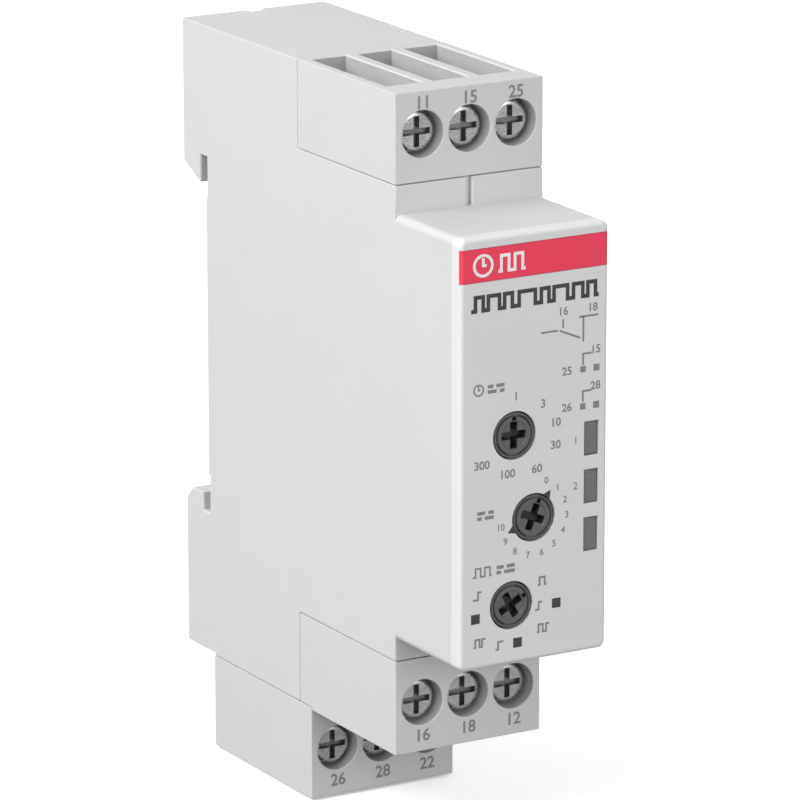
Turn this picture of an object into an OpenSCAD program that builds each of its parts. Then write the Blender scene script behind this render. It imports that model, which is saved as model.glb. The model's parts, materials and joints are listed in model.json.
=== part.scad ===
// One-module timer relay for a 35 mm top-hat rail.
// Millimetres. +X right, -Y towards the front, +Z up.
// Origin: middle of the width, on the rail seat plane, at the rail's centre line.

/* [Housing] */
// Width of one rail module
module_w = 17.5; // [17.5:0.1:18]
// Height of the hood that stands out of a distribution board's cover
hood_h = 45; // [44:0.5:46]
// From the hood's front to the rail seat plane
hood_d = 53; // [53:0.5:56]
// How far the hood stands out in front of the upper and middle terminals
hood_step = 12.8; // [12:0.1:13]
// How far the rail's centre line is above the hood's middle
rail_rise = 1; // [0.5:0.1:1.2]
// Height of the terminal block above the hood
upper_block_h = 12.5; // [12.5:0.1:13]
// Height of the middle terminal block, below the hood
middle_block_h = 12.5; // [12.5:0.1:13]
// Height of the rear terminal block, below the middle one
rear_block_h = 10; // [10:0.1:10.5]
// How far the rear block's face is behind the middle block's face
rear_step = 17.7; // [17.5:0.1:18]
// Wall thickness of the housing
wall = 1.2; // [1.1:0.1:1.3]
// Radius of the hood's four long corners
corner_r = 0.8; // [0.7:0.1:1]
// Radius round the edge of the front panel
edge_r = 0.5; // [0.4:0.1:0.6]

/* [Rail] */
// Width of the rail that the housing hooks over
rail_w = 35; // [35]
// How deep the feet reach behind the rail seat plane
foot_d = 5; // [5:0.1:6]
// How far the upper hook reaches over the rail's edge
hook_grip = 0.9; // [0.7:0.1:1.0]
// Gap that takes the rail's flange
flange_gap = 1.25; // [1.2:0.05:1.4]
// How far the sprung latch pulls down
latch_travel = 3; // [2.5:0.1:3]

/* [Terminals] */
// Distance between neighbouring terminal screws
pitch = 5.5; // [5.4:0.05:5.5]
// Width of each wire opening
wire_w = 4.2; // [4.1:0.05:4.25]
// Diameter of the screw heads
screw_head = 4.1; // [4:0.1:4.4]
// Diameter of the recess round each screw head
screw_recess = 4.9; // [4.8:0.1:5]
// Diameter of the screw thread
thread_d = 2.9; // [2.8:0.05:2.9]
// Thread pitch of the terminal screws
thread_pitch = 0.5; // [0.5]
// How far each wire clamp travels from open to shut
clamp_travel = 3; // [2.5:0.1:3]

/* [Controls] */
// Diameter of the three front knobs
knob_d = 4.8; // [4.6:0.1:5]
// Gap round each knob in the front panel
knob_gap = 0.15; // [0.1:0.05:0.25]
// Distance between the middle knob and each of its neighbours
knob_pitch = 8.9; // [8.7:0.1:9]
// Height of each indicator window
window_h = 3.4; // [3:0.1:3.6]
// Distance between indicator windows
window_pitch = 5.05; // [5:0.05:5.2]

/* [Hidden] */
hood_front = -hood_d;
hood_top = hood_h / 2 - rail_rise;
hood_bottom = hood_top - hood_h;
face_y = hood_front + hood_step;
rear_face_y = face_y + rear_step;
top_z = hood_top + upper_block_h;
middle_bottom = hood_bottom - middle_block_h;
bottom_z = middle_bottom - rear_block_h;
foot_bottom = middle_bottom + 0.5;
half_w = module_w / 2;
inner_w = module_w - 2 * wall;
thin = 0.01;
gap = 0.05;
// Seam heights and depths between the shell and the three terminal caps
upper_seam_z = hood_top + 3;
middle_seam_z = hood_bottom - 2.3;
cap_depth = 20.2;
rear_block_back = -1;
panel_t = 1.6;
// Rail hooks
hook_z = rail_w / 2 - hook_grip;
foot_top = -rail_w / 2 - 0.3;
seat_h = 31;
seat_lift = 0.25;
latch_grip = 1.4;
latch_z = -rail_w / 2 + latch_grip;
latch_w = 9.8;
latch_front = 1.45;
latch_back = 4.9;
latch_bottom = foot_bottom - 2;
latch_groove = latch_w + 0.5;
tongue_w = latch_w + 2;
tongue_y0 = 2.6;
tongue_y1 = 3.6;
spring_top = -21;
spring_len = 3 * latch_travel;
peg_h = 2;
// Terminal module, measured inwards from the block's face
head_sink = 1.3;
head_len = 1.5;
slot_w = 0.35;
slot_reach = 1.6;
slot_deep = 1;
shoulder_y = 3;
channel_y = 3.7;
bar_t = 1;
bar_w = 2.6;
cage_w = 4;
cage_side = 0.45;
cage_nut = 2;
cage_front = channel_y + 0.9 + clamp_travel;
cage_back = cage_front + 9;
cage_h = 5;
screw_tip = cage_front + cage_nut + 2 * thread_pitch;
bar_y = screw_tip + 0.1;
screw_up = 4.5;
screw_down = 5.3;
upper_screw_z = top_z - screw_up;
middle_screw_z = middle_bottom + screw_down;
rear_screw_z = bottom_z + screw_down;
upper_channel_end = 19.4;
lower_channel_end = 16.9;
columns = [-1, 0, 1];
// Controls
knob_x = [-2.3, 0, -2.6];
knob_z = [hood_bottom + 24.05, hood_bottom + 24.05 - knob_pitch, hood_bottom + 24.05 - 2 * knob_pitch];
knob_len = 3.6;
knob_sink = 0.1;
shaft_d = 2;
switch_w = 7.6;
switch_y = hood_front + 4.2;
switch_t = 2.6;
front_board_y = switch_y + switch_t;
front_board_t = 1;
window_x = 6.8;
window_w = 1.5;
window_z = hood_bottom + 17.5;
led_t = 0.8;
// Inside
board_x = 5.9;
board_t = 1.2;
board_front = front_board_y + front_board_t + 0.4;
board_back = -2.4;
board_low = foot_bottom + wall + 0.4;
board_high = upper_seam_z - 1.4;
board_hood_low = hood_bottom + wall + 0.4;
board_hood_high = hood_top - wall - 0.4;
relay_l = 28;
relay_w = 10.1;
relay_h = 12.3;
relay_t = 0.6;
relay_y = [-24.5, -13.2];
relay_z = -16;
relay_base_t = 1.8;
coil_d = 6.4;
coil_l = 14;

// A box between two corners
module block(low, high) {
    translate(low)
        cube([high[0] - low[0], high[1] - low[1], high[2] - low[2]]);
}

// A box centred on the width
module wide(w, y0, y1, z0, z1) {
    block([-w / 2, y0, z0], [w / 2, y1, z1]);
}

// A cylinder along Y
module rod(d, x, z, y0, y1) {
    translate([x, y0, z])
        rotate([-90, 0, 0])
            cylinder(d = d, h = y1 - y0, $fn = 48);
}

// A cylinder along X
module pin(d, y, z, x0, x1) {
    translate([x0, y, z])
        rotate([0, 90, 0])
            cylinder(d = d, h = x1 - x0, $fn = 48);
}

// The outline seen from the side, drawn with Y to the right and Z up
module side_outline() {
    polygon([
        [hood_front + panel_t, hood_bottom], [hood_front + panel_t, hood_top],
        [face_y, hood_top], [face_y, top_z], [foot_d, top_z],
        [foot_d, hook_z + 1.8], [flange_gap, hook_z], [flange_gap, rail_w / 2 + 2.2],
        [-seat_lift, rail_w / 2 + 2.2], [-seat_lift, seat_h / 2], [0, seat_h / 2],
        [0, -seat_h / 2], [-seat_lift, -seat_h / 2], [-seat_lift, foot_top - 2],
        [flange_gap, foot_top - 2], [flange_gap, foot_top], [foot_d - 1.4, foot_top],
        [foot_d, foot_top - 1.4], [foot_d, foot_bottom],
        [rear_block_back, foot_bottom], [rear_block_back, middle_bottom],
        [face_y, middle_bottom], [face_y, hood_bottom]]);
}

// The space for the electronics, seen from the side
module inside_outline() {
    polygon([
        [hood_front, hood_bottom + wall], [hood_front, hood_top - wall],
        [face_y + wall, hood_top - wall], [face_y + wall, upper_seam_z - 1],
        [face_y + cap_depth + wall, upper_seam_z - 1], [face_y + cap_depth + wall, top_z - wall],
        [-seat_lift - wall, top_z - wall], [-seat_lift - wall, foot_bottom + wall],
        [rear_face_y + wall, foot_bottom + wall], [rear_face_y + wall, middle_seam_z + 1],
        [face_y + wall, middle_seam_z + 1], [face_y + wall, hood_bottom + wall]]);
}

// Turns a side outline into a solid of width w
module side_plate(w) {
    translate([-w / 2, 0, 0])
        rotate([90, 0, 90])
            linear_extrude(w)
                children();
}

// Stations across the width
function column_x(c) = columns[c] * pitch;

// One wire channel: recess, screw hole, wire space and the contact bar's slot.
// up = 1 where the wire comes from above and -1 where it comes from below.
module channel_cut(x, face, z, up, reach, channel_end, floor_reach) {
    rod(screw_recess, x, z, face - 1, face + shoulder_y);
    rod(thread_d + 0.4, x, z, face, face + channel_y + thin);
    z_out = z + up * reach;
    z_in = z - up * 3.2;
    block([x - wire_w / 2, face + channel_y, min(z_out, z_in)],
        [x + wire_w / 2, face + channel_end, max(z_out, z_in)]);
    z_floor = z - up * floor_reach;
    block([x - bar_w / 2 - gap, face + bar_y - gap, min(z_floor, z_in)],
        [x + bar_w / 2 + gap, face + bar_y + bar_t + gap, max(z_floor, z_in)]);
}

module terminal_screw(c, face, z) {
    head_y = face + head_sink;
    x = column_x(c);
    color("silver")
        difference() {
            union() {
                rod(screw_head, x, z, head_y, head_y + head_len);
                rod(thread_d, x, z, head_y + head_len - thin, face + screw_tip);
            }
            for (size = [[slot_w, slot_reach], [slot_reach, slot_w]])
                block([x - size[0], head_y - 1, z - size[1]],
                    [x + size[0], head_y + slot_deep, z + size[1]]);
        }
}

module wire_clamp(c, face, z) {
    x = column_x(c);
    y0 = face + cage_front;
    y1 = face + cage_back;
    color("gainsboro")
        difference() {
            block([x - cage_w / 2, y0, z - cage_h / 2], [x + cage_w / 2, y1, z + cage_h / 2]);
            block([x - cage_w / 2 + cage_side, y0 + cage_nut, z - cage_h],
                [x + cage_w / 2 - cage_side, y1 - 1, z + cage_h]);
            rod(thread_d + 0.1, x, z, y0 - 1, y0 + cage_nut + 1);
        }
}

// The flat bar that the wire is pressed against, with its tail into the housing
module contact_bar(c, face, z, up, tail) {
    x = column_x(c);
    z_head = z + up * (cage_h / 2 + 0.3);
    z_tail = z - up * tail;
    color("darkgoldenrod")
        block([x - bar_w / 2, face + bar_y, min(z_head, z_tail)],
            [x + bar_w / 2, face + bar_y + bar_t, max(z_head, z_tail)]);
}

// The outer shape: a hood with rounded long edges, and a square body behind it
module envelope() {
    translate([0, face_y + thin, (hood_top + hood_bottom) / 2])
        rotate([90, 0, 0])
            linear_extrude(hood_step)
                union() {
                    square([module_w - 2 * corner_r, hood_h], center = true);
                    square([module_w, hood_h - 2 * corner_r], center = true);
                    for (x = [-1, 1], z = [-1, 1])
                        translate([x * (half_w - corner_r), z * (hood_h / 2 - corner_r)])
                            circle(r = corner_r, $fn = 32);
                }
    wide(module_w, face_y, foot_d, bottom_z, top_z);
}

module housing_shell() {
    color("whitesmoke")
        difference() {
            intersection() {
                side_plate(module_w)
                    side_outline();
                envelope();
            }
            side_plate(inner_w)
                inside_outline();
            // seats of the three terminal caps
            wide(module_w + 2, face_y - 1, face_y + cap_depth, upper_seam_z, top_z + 1);
            wide(module_w + 2, face_y - 1, face_y + cap_depth, middle_bottom - 1, middle_seam_z);
            wide(module_w + 2, rear_face_y, rear_block_back + 1, bottom_z, middle_bottom + 0.3);
            // openings under and over the caps for the contact bars
            wide(inner_w, face_y + wall, face_y + cap_depth - wall, upper_seam_z - 2, upper_seam_z + 1);
            wide(inner_w, face_y + wall, face_y + cap_depth - wall, middle_seam_z - 1, middle_seam_z + 2);
            wide(inner_w, rear_face_y + wall, rear_block_back - wall - 1, middle_bottom - 1,
                foot_bottom + wall + 1);
            // slit above the hood and notch at the top of the back
            wide(0.5, face_y - 1, face_y + 0.5, hood_top, upper_seam_z + 1);
            wide(1.6, foot_d - 0.9, foot_d + 1, top_z - 0.6, top_z + 1);
            // latch guide
            wide(latch_groove, flange_gap, foot_d + 1, foot_bottom - 1, foot_top + 1);
            wide(tongue_w + 0.5, tongue_y0 - 0.25, tongue_y1 + 0.25, foot_bottom - 1, foot_top - 1.2);
        }
    color("whitesmoke")
        wide(latch_w - 1, -seat_lift - thin, flange_gap, rail_w / 2 + 0.3, rail_w / 2 + 2.2 + thin);
    color("whitesmoke")
        wide(4, flange_gap - 1, latch_back - 0.4, spring_top - spring_len - peg_h, spring_top - spring_len);
}

module front_panel() {
    color("gainsboro")
        difference() {
            intersection() {
                wide(module_w, hood_front, hood_front + panel_t, hood_bottom, hood_top);
                hull()
                    for (x = [-1, 1], z = [hood_bottom + corner_r, hood_top - corner_r])
                        translate([x * (half_w - corner_r), hood_front + edge_r, z])
                            rotate([-90, 0, 0])
                                union() {
                                    rotate_extrude($fn = 32)
                                        intersection() {
                                            translate([corner_r - edge_r, 0])
                                                circle(r = edge_r, $fn = 24);
                                            translate([0, -edge_r])
                                                square([corner_r, 2 * edge_r]);
                                        }
                                    cylinder(r = corner_r, h = panel_t + 1, $fn = 32);
                                }
            }
            for (i = [0 : 2])
                rod(knob_d + 2 * knob_gap, knob_x[i], knob_z[i], hood_front - 1, hood_front + panel_t + 1);
            for (i = [-1 : 1])
                window_block(i, 0.1, hood_front - 1, hood_front + panel_t + 1);
            wide(module_w + 1, hood_front - 1, hood_front + 0.3, hood_top - 4.6, hood_top - 1.1);
        }
    // rim that plugs into the shell
    color("gainsboro")
        difference() {
            wide(inner_w - 0.1, hood_front + panel_t - thin, hood_front + panel_t + 2,
                hood_bottom + wall + gap, hood_top - wall - gap);
            wide(inner_w - 0.9, hood_front, hood_front + panel_t + 3,
                hood_bottom + wall + 0.7, hood_top - wall - 0.7);
        }
}

// Strip let into the panel's front, with rounded ends that carry on the panel's edge
module red_band() {
    color("crimson")
        intersection() {
            wide(module_w, hood_front, hood_front + 0.28, hood_top - 4.55, hood_top - 1.15);
            translate([0, 0, hood_top - 5])
                linear_extrude(4.5)
                    union() {
                        for (x = [-1, 1])
                            translate([x * (half_w - edge_r), hood_front + edge_r])
                                circle(r = edge_r, $fn = 32);
                        translate([-half_w + edge_r, hood_front])
                            square([module_w - 2 * edge_r, 1]);
                    }
        }
}

module window_block(i, clear, y0, y1) {
    z = window_z + i * window_pitch;
    block([window_x - window_w / 2 - clear, y0, z - window_h / 2 - clear],
        [window_x + window_w / 2 + clear, y1, z + window_h / 2 + clear]);
}

module light_window(i) {
    color("dimgray")
        union() {
            window_block(i, 0, hood_front + 0.1, hood_front + panel_t - 0.2);
            translate([-0.2, 0, 0])
                window_block(i, -0.3, hood_front + panel_t - 0.3, front_board_y - led_t - 0.3);
        }
}

module window_top() { light_window(1); }
module window_middle() { light_window(0); }
module window_bottom() { light_window(-1); }

// Knob with a cross slot and a pointer groove
module knob(i, angle) {
    color("darkslategray")
        translate([knob_x[i], 0, knob_z[i]])
            rotate([0, angle, 0])
                difference() {
                    union() {
                        rod(knob_d, 0, 0, hood_front + knob_sink, hood_front + knob_len);
                        rod(shaft_d, 0, 0, hood_front + knob_len - thin, switch_y + switch_t - 0.3);
                    }
                    block([-0.4, hood_front - 1, -1.5], [0.4, hood_front + 1.3, 1.5]);
                    block([-1.5, hood_front - 1, -0.4], [1.5, hood_front + 1.3, 0.4]);
                    block([-0.25, hood_front - 1, 1.4], [0.25, hood_front + 0.6, 2]);
                }
}

module range_knob() { knob(0, 0); }
module fine_knob() { knob(1, 22); }
module function_knob() { knob(2, 62); }

module switch_body(i, col) {
    color(col)
        difference() {
            block([knob_x[i] - switch_w / 2, switch_y, knob_z[i] - switch_w / 2],
                [knob_x[i] + switch_w / 2, front_board_y, knob_z[i] + switch_w / 2]);
            rod(shaft_d + 0.1, knob_x[i], knob_z[i], switch_y - 1, front_board_y + 1);
        }
}

module range_switch() { switch_body(0, "black"); }
module fine_potentiometer() { switch_body(1, "steelblue"); }
module function_switch() { switch_body(2, "black"); }

module terminal_cap(face, z_low, z_high, z_screw, up, depth, channel_end, floor_reach) {
    color("whitesmoke")
        difference() {
            wide(module_w, face, face + depth, z_low, z_high);
            for (c = [0 : 2])
                channel_cut(column_x(c), face, z_screw, up, 8, channel_end, floor_reach);
        }
}

module upper_terminal_cap() {
    terminal_cap(face_y, upper_seam_z + gap, top_z, upper_screw_z, 1, cap_depth - gap, upper_channel_end, 8);
}

module middle_terminal_cap() {
    difference() {
        terminal_cap(face_y, middle_bottom, middle_seam_z - gap, middle_screw_z, -1, cap_depth - gap,
            lower_channel_end, 8);
        wide(module_w + 1, rear_face_y - gap, face_y + cap_depth, middle_bottom - 1, middle_bottom + 0.3);
    }
}

module rear_terminal_cap() {
    terminal_cap(rear_face_y, bottom_z, middle_bottom + 0.3 - gap, rear_screw_z, -1,
        rear_block_back - rear_face_y, lower_channel_end, 8);
}

module upper_screw(c) { terminal_screw(c, face_y, upper_screw_z); }
module middle_screw(c) { terminal_screw(c, face_y, middle_screw_z); }
module rear_screw(c) { terminal_screw(c, rear_face_y, rear_screw_z); }
module upper_clamp(c) { wire_clamp(c, face_y, upper_screw_z); }
module middle_clamp(c) { wire_clamp(c, face_y, middle_screw_z); }
module rear_clamp(c) { wire_clamp(c, rear_face_y, rear_screw_z); }
module upper_contact(c) { contact_bar(c, face_y, upper_screw_z, 1, upper_screw_z - board_high); }
module middle_contact(c) { contact_bar(c, face_y, middle_screw_z, -1, board_hood_low - middle_screw_z); }
module rear_contact(c) { contact_bar(c, rear_face_y, rear_screw_z, -1, board_low - rear_screw_z); }

module rail_latch() {
    color("dimgray")
        difference() {
            union() {
                wide(latch_w, latch_front, latch_back, latch_bottom, foot_top - 1);
                side_plate(latch_w)
                    polygon([[latch_front, foot_top - 2], [latch_front, latch_z],
                        [latch_front + 1.2, latch_z], [latch_back, foot_top - 0.6],
                        [latch_back, foot_top - 2]]);
                wide(tongue_w, tongue_y0, tongue_y1, foot_bottom + 4, foot_top - 5);
            }
            // window for the spring and the fixed peg
            wide(4.6, 0, foot_d + 1, spring_top - spring_len - peg_h - 0.4, spring_top + gap);
            // slot for a screwdriver tip
            wide(4, 0, foot_d + 1, latch_bottom + 0.9, latch_bottom + 1.9);
        }
}

module latch_spring() {
    color("silver")
        translate([0, (latch_front + latch_back) / 2, spring_top - spring_len])
            difference() {
                cylinder(d = 2.8, h = spring_len, $fn = 48);
                translate([0, 0, -1])
                    cylinder(d = 1.8, h = spring_len + 2, $fn = 48);
            }
}

module main_board() {
    y_block = face_y + wall + 0.5;
    y_rear = rear_face_y + wall + 1.5;
    color("darkgreen")
        translate([board_x, 0, 0])
            rotate([90, 0, 90])
                linear_extrude(board_t)
                    polygon([
                        [board_front, board_hood_low], [board_front, board_hood_high],
                        [y_block, board_hood_high], [y_block, board_high], [board_back, board_high],
                        [board_back, board_low], [y_rear, board_low], [y_rear, board_hood_low]]);
}

module front_board() {
    color("darkgreen")
        difference() {
            block([-7.2, front_board_y, hood_bottom + 1.9],
                [7.2, front_board_y + front_board_t, hood_top - 5]);
            for (i = [0 : 2])
                rod(shaft_d + 0.1, knob_x[i], knob_z[i], front_board_y - 1, front_board_y + 2);
        }
}

module board_connector() {
    color("black")
        block([board_x - 2.5, front_board_y + front_board_t, -6],
            [board_x, front_board_y + front_board_t + 3.2, 8]);
}

module indicator_leds() {
    color("lightgreen")
        for (i = [-1 : 1])
            block([window_x - 1, front_board_y - led_t, window_z + i * window_pitch - 0.8],
                [window_x - 0.2, front_board_y, window_z + i * window_pitch + 0.8]);
}

// Relay can, open towards the main board
module relay_case(y) {
    color("dimgray")
        difference() {
            block([board_x - relay_h, y, relay_z], [board_x - relay_base_t, y + relay_w, relay_z + relay_l]);
            block([board_x - relay_h + relay_t, y + relay_t, relay_z + relay_t],
                [board_x, y + relay_w - relay_t, relay_z + relay_l - relay_t]);
        }
}

module relay_base(y) {
    color("black")
        block([board_x - relay_base_t, y, relay_z], [board_x, y + relay_w, relay_z + relay_l]);
}

module relay_coil(y) {
    x = board_x - relay_base_t - coil_d / 2;
    color("orangered")
        translate([x, y + relay_w / 2, relay_z + 2])
            cylinder(d = coil_d, h = coil_l, $fn = 48);
}

// Armature plate that swings over the coil's end, with its hinge at the base
module relay_armature(y) {
    z = relay_z + 2 + coil_l + 1.2;
    x_hinge = board_x - relay_base_t - 0.6;
    color("gray")
        union() {
            block([x_hinge - 7.8, y + 1.6, z], [x_hinge, y + relay_w - 1.6, z + 1]);
            rod(1, x_hinge, z + 0.5, y + 1.6, y + relay_w - 1.6);
        }
}

module relay_1_case() { relay_case(relay_y[0]); }
module relay_1_base() { relay_base(relay_y[0]); }
module relay_1_coil() { relay_coil(relay_y[0]); }
module relay_1_armature() { relay_armature(relay_y[0]); }
module relay_2_case() { relay_case(relay_y[1]); }
module relay_2_base() { relay_base(relay_y[1]); }
module relay_2_coil() { relay_coil(relay_y[1]); }
module relay_2_armature() { relay_armature(relay_y[1]); }

module filter_capacitor() {
    color("midnightblue")
        pin(9, -32, 12, board_x - 12, board_x);
}

module dropper_capacitor() {
    color("goldenrod")
        block([board_x - 11, -38, -11], [board_x, -28, -5]);
}

module surge_varistor() {
    color("royalblue")
        translate([board_x - 5, -34, -17])
            cylinder(d = 7.5, h = 3.6, $fn = 48);
    color("royalblue")
        block([board_x - 3, -36.5, -16.6], [board_x, -31.5, -13.8]);
}

module microcontroller() {
    color("black")
        block([board_x - 2.2, -40, -3], [board_x, -32.5, 5]);
}

housing_shell();
front_panel();
red_band();
upper_terminal_cap();
middle_terminal_cap();
rear_terminal_cap();
window_top();
window_middle();
window_bottom();
range_knob();
fine_knob();
function_knob();
range_switch();
fine_potentiometer();
function_switch();
upper_screw(0);  // upper_screw_left
upper_screw(1);  // upper_screw_centre
upper_screw(2);  // upper_screw_right
middle_screw(0);  // middle_screw_left
middle_screw(1);  // middle_screw_centre
middle_screw(2);  // middle_screw_right
rear_screw(0);  // rear_screw_left
rear_screw(1);  // rear_screw_centre
rear_screw(2);  // rear_screw_right
upper_clamp(0);  // upper_clamp_left
upper_clamp(1);  // upper_clamp_centre
upper_clamp(2);  // upper_clamp_right
middle_clamp(0);  // middle_clamp_left
middle_clamp(1);  // middle_clamp_centre
middle_clamp(2);  // middle_clamp_right
rear_clamp(0);  // rear_clamp_left
rear_clamp(1);  // rear_clamp_centre
rear_clamp(2);  // rear_clamp_right
upper_contact(0);  // upper_contact_left
upper_contact(1);  // upper_contact_centre
upper_contact(2);  // upper_contact_right
middle_contact(0);  // middle_contact_left
middle_contact(1);  // middle_contact_centre
middle_contact(2);  // middle_contact_right
rear_contact(0);  // rear_contact_left
rear_contact(1);  // rear_contact_centre
rear_contact(2);  // rear_contact_right
rail_latch();
latch_spring();
main_board();
front_board();
board_connector();
indicator_leds();
relay_1_case();
relay_1_base();
relay_1_coil();
relay_1_armature();
relay_2_case();
relay_2_base();
relay_2_coil();
relay_2_armature();
filter_capacitor();
dropper_capacitor();
surge_varistor();
microcontroller();
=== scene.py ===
# %% [markdown]
# A one-module timer relay that clips on a 35 mm top-hat rail. Its parts are already modelled and packed
# with their joints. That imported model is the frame, in metres, with Z up and the front looking along -Y.
# Each piece drawn again below stands for one of its nodes and rides on that node's body, so it moves when
# the joint moves.

# %% Load the frame
import json
import math

import bmesh
import bpy
from mathutils import Matrix, Vector


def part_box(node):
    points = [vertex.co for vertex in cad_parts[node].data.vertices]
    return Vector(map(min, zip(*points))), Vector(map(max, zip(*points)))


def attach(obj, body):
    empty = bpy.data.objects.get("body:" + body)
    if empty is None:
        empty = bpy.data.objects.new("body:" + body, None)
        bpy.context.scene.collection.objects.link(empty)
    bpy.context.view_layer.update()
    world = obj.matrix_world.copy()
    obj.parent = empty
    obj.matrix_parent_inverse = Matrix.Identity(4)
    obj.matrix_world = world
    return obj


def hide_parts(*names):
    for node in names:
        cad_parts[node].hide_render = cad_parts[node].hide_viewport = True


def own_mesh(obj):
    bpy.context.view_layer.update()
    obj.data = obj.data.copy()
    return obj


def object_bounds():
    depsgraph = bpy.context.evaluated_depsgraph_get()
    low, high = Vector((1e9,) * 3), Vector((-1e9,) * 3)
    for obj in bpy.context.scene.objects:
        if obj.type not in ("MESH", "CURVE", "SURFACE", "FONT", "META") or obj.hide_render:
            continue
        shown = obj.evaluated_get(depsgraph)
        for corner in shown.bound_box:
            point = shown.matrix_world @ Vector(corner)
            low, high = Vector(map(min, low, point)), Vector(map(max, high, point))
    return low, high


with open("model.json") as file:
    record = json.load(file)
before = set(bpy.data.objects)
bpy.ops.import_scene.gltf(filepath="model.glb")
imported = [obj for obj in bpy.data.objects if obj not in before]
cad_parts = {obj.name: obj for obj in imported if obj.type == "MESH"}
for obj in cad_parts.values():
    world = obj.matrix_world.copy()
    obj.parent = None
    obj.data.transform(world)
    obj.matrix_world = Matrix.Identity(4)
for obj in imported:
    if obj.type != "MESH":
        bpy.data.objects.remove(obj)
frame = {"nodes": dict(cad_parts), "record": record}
cad_box = [list(corner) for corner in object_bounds()]
MM = 0.001

# %% [markdown]
# The pieces have to fit each other as the real ones do. Their sizes could be typed in again, but two copies
# of a size drift apart, so the main ones are read from the boxes of the frame's nodes.

# %% Places taken from the frame
def low(node):
    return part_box(node)[0]


def high(node):
    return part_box(node)[1]


def middle(node):
    return (low(node) + high(node)) / 2


BLOCKS = ("upper", "middle", "rear")
SIDES = ("left", "centre", "right")
KNOBS = ("range", "fine", "function")
panel_front = low("front_panel").y
panel_low = low("front_panel").z
half_width = high("housing_shell").x
face_y = {block: low(f"{block}_terminal_cap").y for block in BLOCKS}
print("panel front at", round(panel_front / MM, 2), "mm")

# %% [markdown]
# A product picture is taken from far away with a long lens, which keeps upright edges nearly parallel. The
# camera could be turned by hand, but a turn, a rise and a distance are easier to change.

# %% Camera
CAMERA_TURN = math.radians(-30.35)
CAMERA_RISE = math.radians(15.0)
CAMERA_AIM = Vector((0.0, -28.0, -1.0)) * MM
CAMERA_DISTANCE = 620 * MM
LENS = 267.3
SENSOR_WIDTH = 36
SHIFT_X, SHIFT_Y = -0.011, -0.010

back = Vector((math.sin(CAMERA_TURN) * math.cos(CAMERA_RISE),
               -math.cos(CAMERA_TURN) * math.cos(CAMERA_RISE), math.sin(CAMERA_RISE)))
camera_data = bpy.data.cameras.new("camera")
camera_data.lens = LENS
camera_data.sensor_width = SENSOR_WIDTH
camera_data.shift_x = SHIFT_X
camera_data.shift_y = SHIFT_Y
camera = bpy.data.objects.new("camera", camera_data)
camera.location = CAMERA_AIM + back * CAMERA_DISTANCE
camera.rotation_mode = "QUATERNION"
camera.rotation_quaternion = (-back).to_track_quat("-Z", "Y")
bpy.context.scene.collection.objects.link(camera)
bpy.context.scene.camera = camera
print("camera at", [round(v, 3) for v in camera.location])

# %% [markdown]
# A white studio lights the object from the left and above. One even background would flatten the shape, so
# its strength follows the direction. To the camera it stays plain white. The first helper adds a shader
# node and sets its inputs, here and in every finish.

# %% World
scene = bpy.context.scene
scene.view_settings.view_transform = "Standard"
scene.view_settings.look = "None"
AMBIENT_DARK, AMBIENT_LIGHT = 0.2, 0.6
AMBIENT_FROM = (-0.75, -0.1, 0.65)


def add(tree, kind, values=()):
    """A new shader node with some of its inputs set."""
    node = tree.nodes.new("ShaderNode" + kind)
    for name, value in dict(values).items():
        node.inputs[name].default_value = value
    return node


def make_world():
    """White to the camera. As a light it is strong from the left and above and weak from the right."""
    world = bpy.data.worlds.new("studio")
    world.use_nodes = True
    tree = world.node_tree
    tree.nodes.clear()
    output = add(tree, "OutputWorld")
    mix = add(tree, "MixShader")
    seen = add(tree, "Background", {"Color": (1, 1, 1, 1)})
    lighting = add(tree, "Background", {"Color": (1, 1, 1, 1)})
    path = add(tree, "LightPath")
    direction = add(tree, "TexCoord")
    towards = add(tree, "VectorMath")
    towards.operation = "DOT_PRODUCT"
    towards.inputs[1].default_value = AMBIENT_FROM
    strength = add(tree, "MapRange", {"From Min": -1.0, "To Min": AMBIENT_DARK, "To Max": AMBIENT_LIGHT})
    tree.links.new(direction.outputs["Generated"], towards.inputs[0])
    tree.links.new(towards.outputs["Value"], strength.inputs["Value"])
    tree.links.new(strength.outputs["Result"], lighting.inputs["Strength"])
    tree.links.new(path.outputs["Is Camera Ray"], mix.inputs["Fac"])
    tree.links.new(lighting.outputs[0], mix.inputs[1])
    tree.links.new(seen.outputs[0], mix.inputs[2])
    tree.links.new(mix.outputs[0], output.inputs["Surface"])
    scene.world = world


make_world()
print("world made")

# %% [markdown]
# Large soft lights make the side the brightest face and the front a step darker, so the edge between them
# reads. A sun lamp would give hard shadows. A low light behind on the right keeps the far side from going
# dull.

# %% Lights
def area_light(name, place, size, power):
    """A square light that faces the object: its place and size are in metres and its power in watts."""
    data = bpy.data.lights.new(name, "AREA")
    data.size = size
    data.energy = power
    light = bpy.data.objects.new(name, data)
    light.location = place
    light.rotation_mode = "QUATERNION"
    light.rotation_quaternion = Vector(place).to_track_quat("Z", "Y")
    scene.collection.objects.link(light)


area_light("key_from_left", (-0.45, -0.06, 0.30), 0.35, 3.0)
area_light("fill_from_front", (0.1, -0.95, 0.12), 0.6, 4.3)
area_light("top_light", (-0.05, 0.2, 0.45), 0.3, 0.3)
area_light("back_light", (0.75, 0.5, 0.03), 0.5, 5.6)
print("four lights")

# %% [markdown]
# The device stands on a plain pale sheet. A curved backdrop would do as well, but one large face is enough
# under an object this small. It belongs to the studio, so it is a stage and not a piece.

# %% Floor
FLOOR_REACH = 6.0
FLOOR_GAP = 0.2 * MM


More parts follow.
